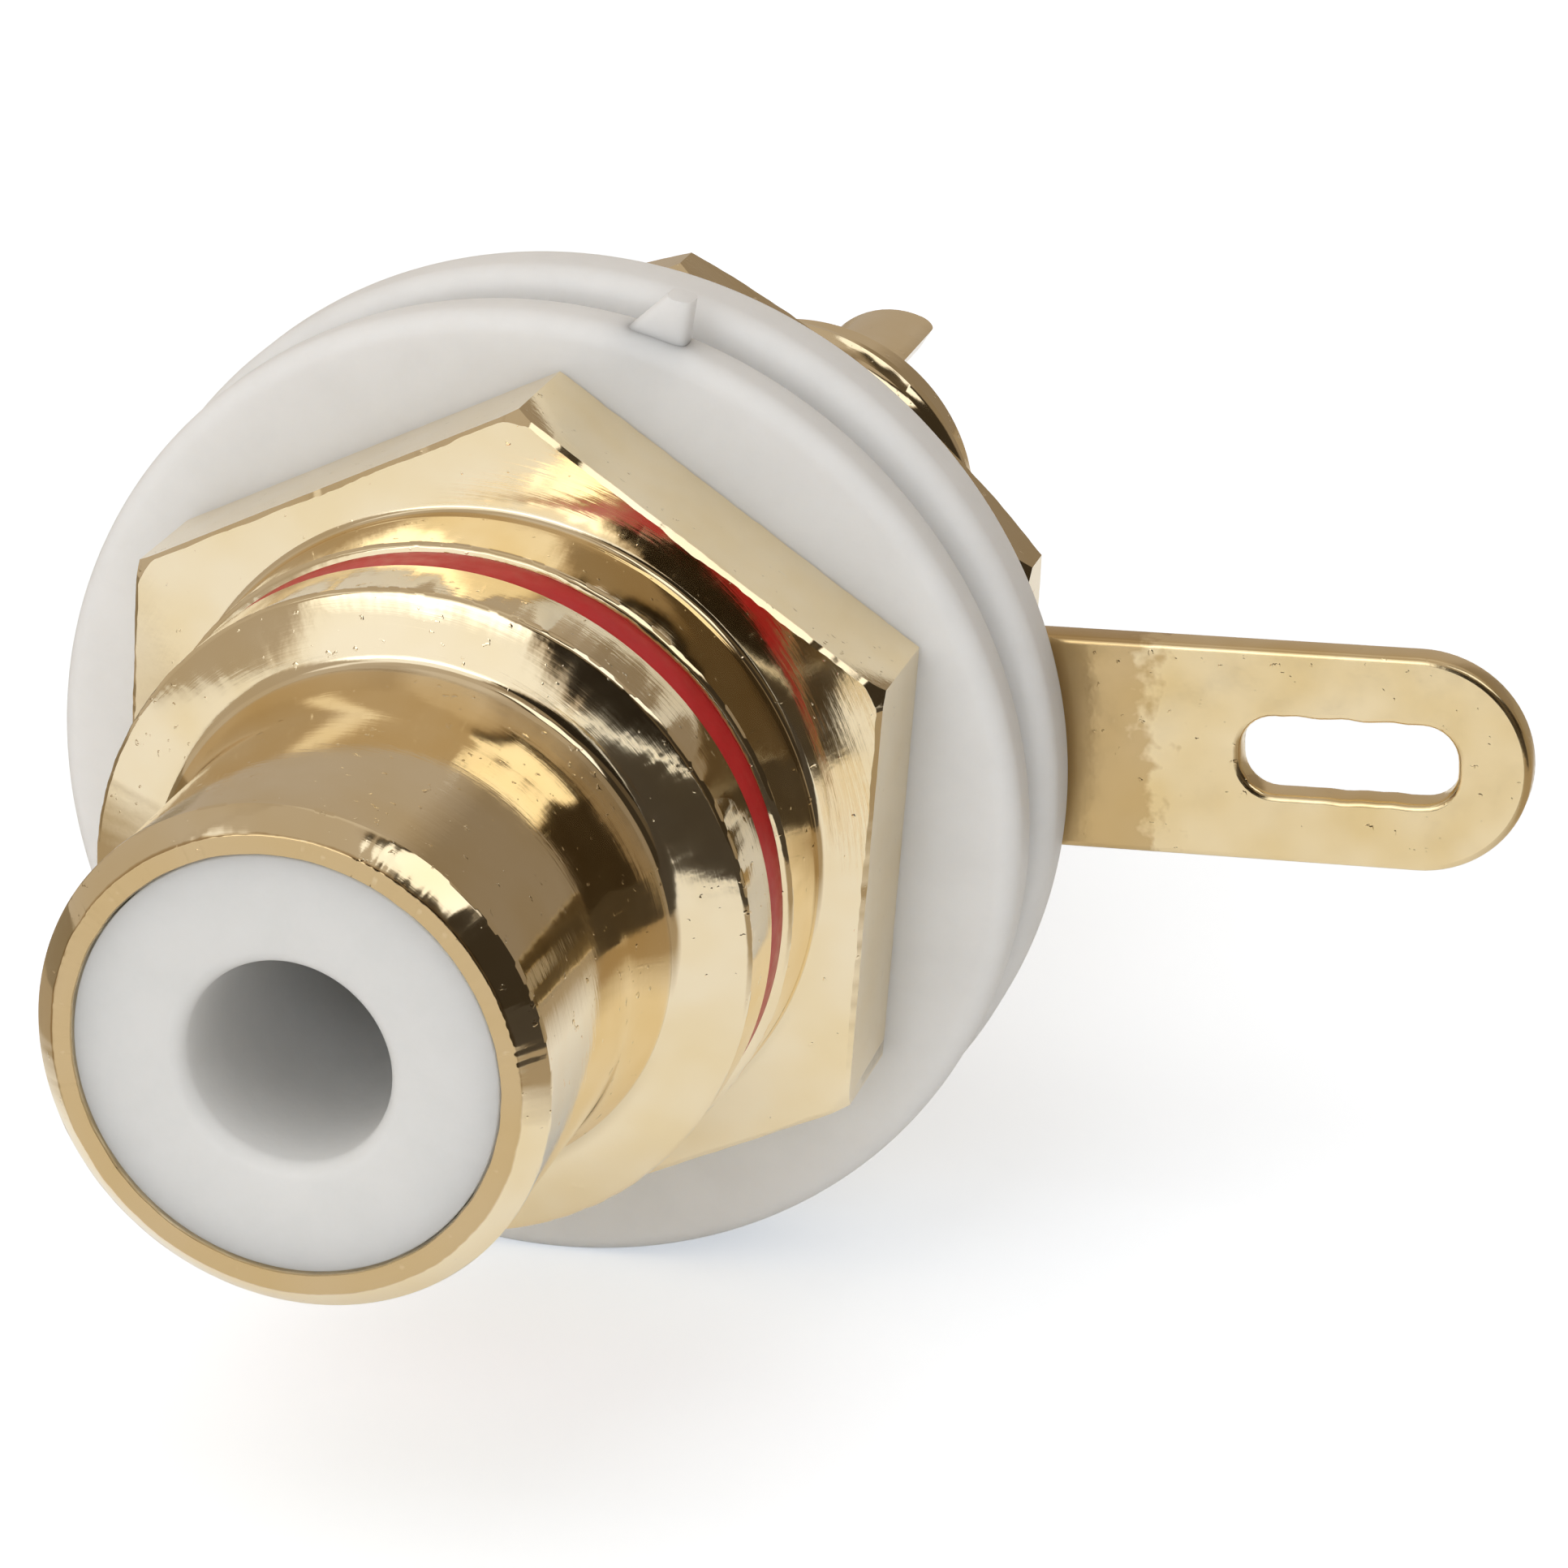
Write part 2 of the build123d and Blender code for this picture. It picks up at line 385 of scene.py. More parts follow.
def mix_colour(tree, factor, first, second):
    """Blend of two colours by a factor; the first may come from another node."""
    node = add(tree, "ShaderNodeMix", data_type="RGBA")
    tree.links.new(factor, node.inputs["Factor"])
    if isinstance(first, tuple):
        node.inputs["A"].default_value = (*first, 1)
    else:
        tree.links.new(first, node.inputs["A"])
    node.inputs["B"].default_value = (*second, 1)
    return node.outputs["Result"]


# Gold. The scales are waves of the noise per millimetre, and the depths are in millimetres
turned_colours = ((0.94, 0.81, 0.575), (0.9, 0.74, 0.46))
stamped_colours = ((0.93, 0.77, 0.49), (0.84, 0.65, 0.34))
# painted shade: brown towards which the plating's colour is darkened beyond an edge, in place of darker
# reflections there
painted_shade_colour = (0.54, 0.36, 0.15)
painted_shade_strength = 0.72
mark_scale = 9.0
mark_drift = 0.05
pit_scale = 2.2
dent_scale = 5.0
dent_threshold = (0.69, 0.76)
dent_depth = 0.005
gold_gloss_scale = 1.1
gold_tone_scale = 0.6
# painted reflection: the rim's front face and bore edge are darkened to stand in for their darker, tan
# reflection
rim_painted_shade_edge = (front_end + 0.04, front_end + 0.015)
# painted shadow and reflection: the lug is darkened nearer the axis than about 10 mm, where a shadow and the
# washers' reflection fall on it
lug_painted_shadow_edge = (10.3, 9.9)


def gold(name, colours, depths, roughnesses, shade_axis, shade_edge, shade_waver):
    """Bright plating over brass: fine rings of tool marks, soft pits, a few small dents and uneven gloss.

    depths are those of the tool marks and the pits, and roughnesses the lowest and the highest. Beyond an edge
    the colour is darkened towards a brown, a painted shade that stands in for darker reflections; the edge is
    given along one axis in mm, from bright to shaded, and wavers by some mm.
    """
    mark_depth, pit_depth = depths
    material, tree, shader = start_material(name, colours[0], roughnesses[0], 1.0)
    place = millimetres(tree)
    turning = turning_place(tree, place)
    drift = add(tree, "ShaderNodeVectorMath", operation="SCALE", _0=place, Scale=mark_drift).outputs["Vector"]
    ringed = add(tree, "ShaderNodeVectorMath", operation="ADD", _0=turning, _1=drift).outputs["Vector"]
    marks = speckle(tree, ringed, mark_scale, 4.0, 0.6)
    pits = speckle(tree, place, pit_scale, 3.0, 0.55)
    normal = bump(tree, marks, mark_depth)
    normal = bump(tree, pits, pit_depth, normal)
    dents = ranged(tree, speckle(tree, place, dent_scale, 2.0), *dent_threshold, 0.0, 1.0)
    normal = bump(tree, dents, dent_depth, normal)
    tree.links.new(normal, shader.inputs["Normal"])
    gloss = speckle(tree, place, gold_gloss_scale, 4.0, 0.6)
    tree.links.new(ranged(tree, gloss, 0.35, 0.7, *roughnesses), shader.inputs["Roughness"])
    tone = ranged(tree, speckle(tree, place, gold_tone_scale, 2.0), 0.35, 0.7, 0.0, 1.0)
    along = add(tree, "ShaderNodeSeparateXYZ", Vector=place).outputs[shade_axis]
    waver = ranged(tree, pits, 0.3, 0.7, -shade_waver, shade_waver)
    wavering = add(tree, "ShaderNodeMath", operation="ADD", _0=along, _1=waver).outputs["Value"]
    # painted shade: the colour darkens beyond the edge, standing in for darker reflections
    painted_shade = ranged(tree, wavering, *shade_edge, 0.0, painted_shade_strength)
    bright = mix_colour(tree, tone, *colours)
    tree.links.new(mix_colour(tree, painted_shade, bright, painted_shade_colour), shader.inputs["Base Color"])
    return material


def plastic(name, colours, roughnesses, bump_depth, mottle_scale, glow_depth):
    """Moulded plastic with faint mottling, uneven gloss and light that soaks in by a depth in mm."""
    material, tree, shader = start_material(name, colours[0], roughnesses[0])
    shader.inputs["Subsurface Weight"].default_value = 0.6
    shader.inputs["Subsurface Radius"].default_value = (1.0, 0.95, 0.9)
    shader.inputs["Subsurface Scale"].default_value = glow_depth * MM
    place = millimetres(tree)
    mottle = speckle(tree, place, mottle_scale, 4.0, 0.6)
    tone = ranged(tree, mottle, 0.4, 0.7, 0.0, 1.0)
    tree.links.new(mix_colour(tree, tone, *colours), shader.inputs["Base Color"])
    gloss = speckle(tree, place, mottle_scale * 3, 3.0)
    tree.links.new(ranged(tree, gloss, 0.3, 0.7, *roughnesses), shader.inputs["Roughness"])
    skin = speckle(tree, place, mottle_scale * 6, 3.0)
    tree.links.new(bump(tree, skin, bump_depth), shader.inputs["Normal"])
    return material


turned_gold = gold("turned_gold", turned_colours, (0.0014, 0.0022), (0.05, 0.12), "Y", rim_painted_shade_edge, 0.01)
stamped_gold = gold("stamped_gold", stamped_colours, (0.0005, 0.006), (0.1, 0.25), "X", lug_painted_shadow_edge, 0.5)
red_colours = ((0.62, 0.014, 0.022), (0.56, 0.012, 0.018))
white_colours = ((0.83, 0.825, 0.81), (0.8, 0.8, 0.785))
nylon_colours = ((0.87, 0.87, 0.865), (0.84, 0.84, 0.835))
red_plastic = plastic("red_plastic", red_colours, (0.3, 0.42), 0.003, mottle_scale=1.5, glow_depth=0.3)
white_plastic = plastic("white_plastic", white_colours, (0.3, 0.42), 0.003, mottle_scale=1.2, glow_depth=2.4)
washer_nylon = plastic("washer_nylon", nylon_colours, (0.42, 0.6), 0.004, mottle_scale=0.9, glow_depth=1.2)


# Pieces

def thread_row(y):
    """Row of the helical thread at a place along the axis; its tooth is cut flat at crest and root."""
    def row(angle):
        turns = (y / thread_pitch + angle / tau) % 1.0
        tooth = min(1.0, max(0.0, abs(2 * turns - 1) * thread_flank_slope - thread_crest_share))
        fade = min(1.0, max(0.0, (y - flange_rear) / thread_pitch), max(0.0, (thread_end - y) / tip_relief))
        return thread_radius - thread_depth * tooth * fade, y
    return row


def socket_shell():
    """Plug barrel with its rim and cove, two collars, hex flange and threaded shank, in one turned piece."""
    barrel_front = front_end + rim_bevel_length + rim_land_length
    barrel_rear = barrel_front + barrel_length
    collar_front = barrel_rear + cove_length
    rows = [(plug_bore_radius, flange_rear), *rim_rows()]
    rows += [(barrel_radius, barrel_front + 0.02), (barrel_radius, barrel_rear)]
    cove_end = collar_front - collar_face_slope
    cove_rise = cove_radius - cove_fillet - barrel_radius
    cove_run = cove_end - cove_fillet - barrel_rear
    arc_radius = (cove_rise ** 2 + cove_run ** 2) / (2 * cove_rise)
    for step in range(1, cove_steps + 1):
        along = cove_run * step / cove_steps
        rows.append((barrel_radius + arc_radius - sqrt(arc_radius ** 2 - along ** 2), barrel_rear + along))
    last_radius, last_y = rows[-1]
    for step in range(1, edge_steps + 1):
        share = step / edge_steps
        rows.append((
            last_radius + (cove_radius - last_radius) * share + cove_fillet * share ** 2,
            last_y + (cove_end - last_y) * (2 * share - share ** 2) + 0.2 * cove_fillet * share ** 2,
        ))
    rows += collar_rows(front_collar_radius, collar_front, ring_front, front_collar_rear_bevel)
    rows += [(groove_radius, ring_front), (groove_radius, ring_rear)]
    rows += collar_rows(rear_collar_radius, ring_rear, flange_front - rear_collar_fillet, 0)
    for step in range(1, edge_steps + 1):
        turn = pi / 2 * step / edge_steps
        rows.append((
            rear_collar_radius + rear_collar_fillet * (1 - cos(turn)),
            flange_front - rear_collar_fillet * (1 - sin(turn)),
        ))
    rows += hexagon_edge(flange_front, 1, flange_across_flats, flange_corner_angle, flange_corner_bevel, 1)
    rows += reversed(hexagon_edge(flange_rear, -1, flange_across_flats, flange_corner_angle, 0, 2))
    rows.append((thread_radius, flange_rear))
    thread_step = thread_pitch / thread_rows_per_turn
    y = flange_rear + thread_step
    while y < thread_end:
        rows.append(thread_row(y))
        y += thread_step
    tip_radius = thread_radius - tip_relief
    rows += [
        (tip_radius, thread_end),
        (tip_radius, shank_end - tip_bevel),
        (tip_radius - tip_bevel, shank_end),
        (rear_bore_radius, shank_end),
        (rear_bore_radius, flange_rear),
    ]
    return turned(rows, start=flange_corner_angle)


def rim_rows():
    """Rows of the rim: the bore's ragged edge, the front face, its rolled edge, the bevel and the land."""
    face_radius = rim_radius - rim_bevel_width
    bevel_angle = atan2(rim_bevel_length, rim_bevel_width)
    bevel_across, bevel_along = plug_bore_bevel
    rows = [
        rim_row(plug_bore_radius, front_end + bevel_along, rim_edge_unevenness),
        rim_row(plug_bore_radius + bevel_across, front_end, rim_edge_unevenness),
        rim_row((plug_bore_radius + face_radius) / 2, front_end, rim_face_unevenness),
    ]
    for step in range(edge_steps + 1):
        turn = bevel_angle * step / edge_steps
        reach = rim_edge_rounding * tan(bevel_angle / 2)
        radius = face_radius - reach + rim_edge_rounding * sin(turn)
        rows.append(rim_row(radius, front_end + rim_edge_rounding * (1 - cos(turn)), rim_edge_unevenness))
    land_front = front_end + rim_bevel_length
    land_rear = land_front + rim_land_length
    rows.append(rim_row(rim_radius - 0.03, land_front - 0.028, rim_bevel_unevenness))
    rows += [(rim_radius, land_front + 0.02), (rim_radius, land_rear - 0.03), (rim_radius - 0.02, land_rear)]
    return rows


def rim_row(radius, y, unevenness):
    """Row of the rim that the tool left slightly uneven."""
    def row(angle):
        return radius + unevenness * wander(angle, 60, 5), y + unevenness * abs(wander(angle, 140, 7))
    return row


def collar_rows(radius, front, rear, rear_bevel):
    """Rows of a collar's burred front edge, its land and, where it has one, its rear edge."""
    rows = [
        burred_row(radius - collar_bevel, front, front),
        burred_row(radius - collar_bevel / 2, front + collar_bevel / 4, front + 20),
        burred_row(radius, front + collar_bevel, front + 40),
        (radius, front + collar_bevel + 0.06),
    ]
    if rear_bevel:
        return rows + [(radius, rear - rear_bevel), (radius - rear_bevel, rear)]
    return rows + [(radius, rear)]


def burred_row(radius, y, seed):
    """Row of an edge with a fine burr."""
    def row(angle):
        burr = collar_burr * (wander(angle, 110, seed) + wander(angle, 300, seed + 1))
        return radius + burr, y + 0.7 * burr
    return row


def colour_ring():
    """Coloured ring in the groove between the collars."""
    inner, outer = groove_radius + 0.05, front_collar_radius - 0.04
    return turned(cross_section([
        (inner, ring_front, 0),
        (outer, ring_front, 0.04),
        (outer, ring_rear, 0.04),
        (inner, ring_rear, 0),
    ]))


def front_insulator():
    """White bush in the barrel, with the pin hole's rounded mouth and the chamber behind it."""
    radius = plug_bore_radius - insulator_gap
    chamber_front = front_end + pin_hole_length
    return turned(cross_section([
        (pin_hole_radius, insulator_front, pin_hole_rounding),
        (radius, insulator_front, insulator_edge_rounding),
        (radius, flange_rear, 0),
        (chamber_radius, flange_rear, 0),
        (chamber_radius, chamber_front, 0),
        (pin_hole_radius, chamber_front, 0),
    ], fine_edge_steps))


def rear_insulator():
    """White bush in the shank round the contact's rod."""
    radius = rear_bore_radius - insulator_gap
    seat_end = flange_rear + spring_seat_depth
    return turned(cross_section([
        (spring_seat_radius, flange_rear, 0),
        (radius, flange_rear, 0),
        (radius, bush_rear, bush_rounding),
        (bush_bore_radius, bush_rear, bush_rounding),
        (bush_bore_radius, seat_end, 0),
        (spring_seat_radius, seat_end, 0),
    ]))


def front_washer():
    """White shoulder washer with its gate stub, off centre by its play."""
    ring = turned(cross_section([
        (washer_hole_radius, flange_rear, 0),
        (washer_radius, flange_rear, washer_rounding),
        (washer_radius, 0, washer_rounding),
        (shoulder_radius, 0, 0),
        (shoulder_radius, shoulder_end, shoulder_rounding),
        (washer_hole_radius, shoulder_end, shoulder_rounding),
    ], fine_edge_steps))
    return moved(joined(ring, gate_stub()), washer_shift_x, washer_shift_z)


def gate_stub():
    """Leftover of the moulding gate: a small leaning wedge with a torn tip on the washer's rim."""
    rows = 6
    around = 24
    points = []
    for i in range(rows + 1):
        share = i / rows
        reach = washer_radius - washer_rounding + (gate_height + washer_rounding) * share
        half_width = (gate_base_width + (gate_top_width - gate_base_width) * share) / 2
        middle = -gate_lean * share
        half_thick = gate_thickness / 2 * (1 - 0.2 * share ** 3)
        for k in range(around):
            turn = tau * (k + 0.5) / around
            across = middle + half_width * superellipse(cos(turn))
            along = flange_rear / 2 + half_thick * superellipse(sin(turn))
            tear = gate_tear * noise.noise(Vector((across * 4, along * 4, 3))) if i == rows else 0
            height = reach + tear
            points.append((
                height * cos(gate_angle) - across * sin(gate_angle),
                along,
                height * sin(gate_angle) + across * cos(gate_angle),
            ))
    faces = [tuple(range(around)), tuple(range((rows + 1) * around - 1, rows * around - 1, -1))]
    for i in range(rows):
        for k in range(around):
            after = (k + 1) % around
            faces.append((i * around + k, (i + 1) * around + k, (i + 1) * around + after, i * around + after))
    return points, faces


def superellipse(value):
    """Cosine or sine pushed outwards, for a rounded rectangle."""
    return (1 if value > 0 else -1) * abs(value) ** 0.45


def rear_washer():
    """White washer behind the panel, recessed for the front washer's shoulder."""
    return turned(cross_section([
        (spacer_recess_radius, spacer_front, spacer_edge_rounding),
        (spacer_radius, spacer_front, washer_rounding),
        (spacer_radius, lug_front, washer_rounding),
        (spacer_hole_radius, lug_front, spacer_edge_rounding),
        (spacer_hole_radius, spacer_front + spacer_recess_depth, 0),
        (spacer_recess_radius, spacer_front + spacer_recess_depth, 0),
    ], fine_edge_steps))


def hex_nut():
    """Hexagon nut, bevelled on both faces, with a chamfered bore."""
    rows = [
        (nut_bore_radius, nut_front + nut_mouth_bevel),
        (nut_bore_radius + nut_mouth_bevel, nut_front),
        *hexagon_edge(nut_front, 1, nut_across_flats, nut_corner_angle, nut_corner_bevel, 3),
        *reversed(hexagon_edge(nut_rear, -1, nut_across_flats, nut_corner_angle, nut_corner_bevel, 4)),
        (nut_bore_radius + nut_mouth_bevel, nut_rear),
        (nut_bore_radius, nut_rear - nut_mouth_bevel),
    ]
    return turned(rows, start=nut_corner_angle)


def centre_contact():
    """Sprung front end with four leaves, the rod, and the solder cup with its rounded tongue."""
    rod = turned([
        (spring_bore_radius, slit_end),
        (spring_radius, slit_end),
        (spring_radius, spring_rear),
        (rod_radius, spring_rear),
        (rod_radius, rod_end - rod_edge_bevel),
        (rod_radius - rod_edge_bevel, rod_end),
        (cup_radius, rod_end),
        (cup_radius, cup_end - cup_open_length),
        (cup_bore_radius, cup_end - cup_open_length),
        (cup_bore_radius, cup_end - cup_depth),
        (blind_end_radius, cup_end - cup_depth),
        (blind_end_radius, spring_rear - spring_end_wall),
        (spring_bore_radius, spring_rear - spring_end_wall),
    ], contact_segments)
    leaves = [spring_leaf(pi / 2 * quarter) for quarter in range(4)]
    return joined(rod, *leaves, cup_tongue())


def bent_plate(inner, outer, rows):
    """Closed plate curved about the axis. Each row is (y, first angle, last angle)."""
    columns = 24
    points = []
    for y, first, last in rows:
        for radius in (inner, outer):
            for k in range(columns + 1):
                angle = first + (last - first) * k / columns
                points.append((radius * cos(angle), y, radius * sin(angle)))
    width = 2 * (columns + 1)
    border = list(range(columns + 1)) + list(range(width - 1, columns, -1))
    faces = [tuple(border), tuple((len(rows) - 1) * width + index for index in reversed(border))]
    for i in range(len(rows) - 1):
        here, ahead = i * width, (i + 1) * width
        for k in range(width):
            this, after = border[k], border[(k + 1) % width]
            faces.append((here + this, ahead + this, ahead + after, here + after))
    return points, faces


def spring_leaf(quarter):
    """One of the four leaves between the slits."""
    half_slit = slit_width / 2 / spring_radius
    first, last = quarter + half_slit, quarter + pi / 2 - half_slit
    rows = [(spring_front, first, last), (slit_end, first, last)]
    return bent_plate(spring_bore_radius, spring_radius, rows)


def cup_tongue():
    """Half shell that is left where the cup is cut open, with rounded end corners."""
    half = pi / 2 - cup_cut_offset / cup_radius
    rows = [(cup_end - cup_open_length, cup_side_angle - half, cup_side_angle + half)]
    for step in range(fine_edge_steps + 1):
        turn = pi / 2 * step / fine_edge_steps
        inset = cup_corner_round * (1 - cos(turn)) / cup_radius
        y = cup_end - cup_corner_round * (1 - sin(turn))
        rows.append((y, cup_side_angle - half + inset, cup_side_angle + half - inset))
    return bent_plate(cup_bore_radius, cup_radius, rows)


def ground_lug():
    """Flat lug: a ring under the nut and a round-ended tab with a slot, all edges softly rolled."""
    half_tab = lug_tab_width / 2
    tab_centre = lug_reach - half_tab
    join_angle = atan2(half_tab, sqrt(lug_ring_radius ** 2 - half_tab ** 2))
    outer = []
    for step in range(lug_ring_steps + 1):
        angle = join_angle + (tau - 2 * join_angle) * step / lug_ring_steps
        outer.append((lug_ring_radius * cos(angle), lug_ring_radius * sin(angle)))
    side_start = outer[-1][0]
    side_length = tab_centre - side_start
    side = [side_start + side_length * step / lug_side_steps for step in range(1, lug_side_steps)]
    outer += [(x, -half_tab) for x in side]
    for step in range(lug_end_steps + 1):
        angle = -pi / 2 + pi * step / lug_end_steps
        outer.append((tab_centre + half_tab * cos(angle), half_tab * sin(angle)))
    outer += [(x, half_tab) for x in reversed(side)]
    hole = []
    for step in range(lug_ring_steps):
        angle = tau * step / lug_ring_steps
        hole.append((lug_hole_radius * cos(angle), lug_hole_radius * sin(angle)))
    return flat_plate("ground_lug", outer, [hole, slot_outline()], lug_front, nut_front, lug_edge_rounding)


def slot_outline():
    """Outline of the lug's slot, with bumpy burrs along it."""
    centre = lug_reach - lug_slot_end_gap - lug_slot_length / 2
    outline = []
    corners = [(1, 1), (-1, 1), (-1, -1), (1, -1)]
    for i, (side, level) in enumerate(corners):
        corner_x = centre + side * (lug_slot_length / 2 - lug_slot_rounding)
        corner_z = level * (lug_slot_width / 2 - lug_slot_rounding)
        for step in range(fine_edge_steps + 1):
            angle = pi / 2 * (i + step / fine_edge_steps)
            x = corner_x + lug_slot_rounding * cos(angle)
            outline.append((x, corner_z + lug_slot_rounding * sin(angle)))
        if i in (0, 2):
            following_side = corners[(i + 1) % 4][0]
            end_x = centre + following_side * (lug_slot_length / 2 - lug_slot_rounding)
            for step in range(1, slot_side_steps):
                x = corner_x + (end_x - corner_x) * step / slot_side_steps
                burr = lug_slot_burr * noise.noise(Vector((x * 2.5, level, 11)))
                outline.append((x, level * lug_slot_width / 2 + burr))
    return outline


def flat_plate(name, outer, holes, front, rear, rounding):
    """Points and faces of a flat plate with holes, from a filled curve with rolled edges."""
    curve = bpy.data.curves.new(name, "CURVE")
    curve.dimensions = "2D"
    curve.fill_mode = "BOTH"
    curve.extrude = (rear - front) / 2 - rounding
    curve.bevel_depth = rounding
    curve.bevel_resolution = 3
    curve.offset = -rounding
    for outline in [outer, *holes]:
        spline = curve.splines.new("POLY")
        spline.points.add(len(outline) - 1)
        for point, (x, z) in zip(spline.points, outline):
            point.co = (x, z, 0, 1)
        spline.use_cyclic_u = True
    holder = bpy.data.objects.new(name, curve)
    bpy.context.scene.collection.objects.link(holder)
    bpy.context.view_layer.update()
    shape = holder.evaluated_get(bpy.context.evaluated_depsgraph_get()).to_mesh()
    middle = (front + rear) / 2
    points = [(vertex.co.x, middle - vertex.co.z, vertex.co.y) for vertex in shape.vertices]
    faces = [tuple(face.vertices) for face in shape.polygons]
    bpy.data.objects.remove(holder)
    return points, faces


piece("socket_shell", socket_shell(), turned_gold, "socket")
piece("colour_ring", colour_ring(), red_plastic, "socket")
piece("front_insulator", front_insulator(), white_plastic, "socket")
piece("rear_insulator", rear_insulator(), white_plastic, "socket")
piece("centre_contact", centre_contact(), turned_gold, "socket")
piece("front_washer", front_washer(), washer_nylon, "socket")
piece("rear_washer", rear_washer(), washer_nylon, "clamp")
piece("ground_lug", moved(ground_lug(), z=lug_shift_z), stamped_gold, "clamp")
piece("hex_nut", hex_nut(), turned_gold, "nut")


# Studio

def stage_mesh(name, points, faces, material):
    """Object of the studio, which is no part of the socket."""
    mesh = bpy.data.meshes.new(name)
    mesh.from_pydata([Vector(point) * MM for point in points], [], faces)
    mesh.materials.append(material)
    obj = bpy.data.objects.new(name, mesh)
    bpy.context.scene.collection.objects.link(obj)
    return obj


def direction(azimuth, elevation):
    """Unit vector; azimuth 0 is -Y and 90 is +X, in degrees."""
    a, e = radians(azimuth), radians(elevation)
    return Vector((sin(a) * cos(e), -cos(a) * cos(e), sin(e)))


# Floor. In the metal it is white in front of the socket and under it, and dimmer at both sides
floor_size = 1500.0
floor_level = min(cad("front_washer", "Z", 0), cad("rear_washer", "Z", 0))
floor_colour = (0.9, 0.92, 0.94)
floor_dimmed_colour = (0.5, 0.42, 0.31)
floor_glow_colour = (0.86, 0.92, 1.0)
floor_glow_in_camera = 0.49
floor_glow_in_metal = 0.23
dim_side_limits = (14.0, 24.0)
dim_back_limits = (-40.0, -25.0)


def multiplied(tree, first, second):
    """Product of two values."""
    return add(tree, "ShaderNodeMath", operation="MULTIPLY", _0=first, _1=second).outputs["Value"]


def floor_material():
    """Pale floor that keeps the socket's shadow and glows a little for the camera and in the metal."""
    material, tree, shader = start_material("floor", floor_colour, 0.9)
    shader.inputs["Emission Color"].default_value = (*floor_glow_colour, 1)
    rays = add(tree, "ShaderNodeLightPath").outputs
    split = add(tree, "ShaderNodeSeparateXYZ", Vector=millimetres(tree)).outputs
    side = add(tree, "ShaderNodeMath", operation="ABSOLUTE", _0=split["X"]).outputs["Value"]
    dim_side = ranged(tree, side, *dim_side_limits, 0.0, 1.0)
    dim_back = ranged(tree, split["Y"], *dim_back_limits, 0.0, 1.0)
    dim = multiplied(tree, dim_side, dim_back)
    colour = mix_colour(tree, multiplied(tree, dim, rays["Is Glossy Ray"]), floor_colour, floor_dimmed_colour)
    tree.links.new(colour, shader.inputs["Base Color"])
    side_glow = ranged(tree, dim, 0.0, 1.0, floor_glow_in_metal, 0.0)
    metal_glow = multiplied(tree, side_glow, rays["Is Glossy Ray"])
    camera_glow = ranged(tree, rays["Is Camera Ray"], 0.0, 1.0, 0.0, floor_glow_in_camera)
    glow = add(tree, "ShaderNodeMath", operation="ADD", _0=camera_glow, _1=metal_glow).outputs["Value"]
    tree.links.new(glow, shader.inputs["Emission Strength"])
    return material


corner = floor_size / 2
floor_points = [(x, y, floor_level) for x, y in (
    (-corner, -corner), (corner, -corner), (corner, corner), (-corner, corner)
)]
stage_mesh("floor", floor_points, [(0, 1, 2, 3)], floor_material())


card_distance = 44.0


def card(name, azimuths, elevations, colour):
    """Part of a sphere about the socket that is seen only in the metal."""
    columns, rows = 48, 4
    points = []
    for i in range(rows + 1):
        elevation = elevations[0] + (elevations[1] - elevations[0]) * i / rows
        for k in range(columns + 1):
            azimuth = azimuths[0] + (azimuths[1] - azimuths[0]) * k / columns
            points.append(direction(azimuth, elevation) * card_distance)
    faces = []
    for i in range(rows):
        for k in range(columns):
            this = i * (columns + 1) + k
            faces.append((this, this + 1, this + columns + 2, this + columns + 1))
    obj = stage_mesh(name, points, faces, start_material(name, colour, 0.9)[0])
    obj.visible_camera = False
    obj.visible_diffuse = False
    obj.visible_shadow = False


card("dark_card", (-3.0, 82.0), (-11.5, 2.0), (0.08, 0.07, 0.06))
card("left_card", (-165.0, -60.0), (-11.4, 4.0), (0.45, 0.38, 0.28))
card("right_card", (82.5, 150.0), (-11.4, 4.0), (0.4, 0.34, 0.25))


world = bpy.data.worlds.new("studio")
bpy.context.scene.world = world
world.use_nodes = True
world_tree = world.node_tree
ray_place = add(world_tree, "ShaderNodeTexCoord").outputs["Generated"]
ray_split = add(world_tree, "ShaderNodeSeparateXYZ", Vector=ray_place).outputs
ray_back = multiplied(world_tree, ray_split["Y"], -1.0)
ray_turn = add(world_tree, "ShaderNodeMath", operation="ARCTAN2", _0=ray_split["X"], _1=ray_back).outputs
ray_azimuth = add(world_tree, "ShaderNodeMath", operation="DEGREES", _0=ray_turn["Value"]).outputs["Value"]
ray_rise = add(world_tree, "ShaderNodeMath", operation="ARCSINE", _0=ray_split["Z"]).outputs
ray_elevation = add(world_tree, "ShaderNodeMath", operation="DEGREES", _0=ray_rise["Value"]).outputs["Value"]
ray_camera = add(world_tree, "ShaderNodeLightPath").outputs["Is Camera Ray"]


def world_math(operation, *values, clamped=False):
    """Result of one operation on values of the world's nodes."""
    node = add(world_tree, "ShaderNodeMath", operation=operation, use_clamp=clamped)
    for value, socket in zip(values, node.inputs):
        if isinstance(value, bpy.types.NodeSocket):
            world_tree.links.new(value, socket)
        else:
            socket.default_value = value
    return node.outputs["Value"]


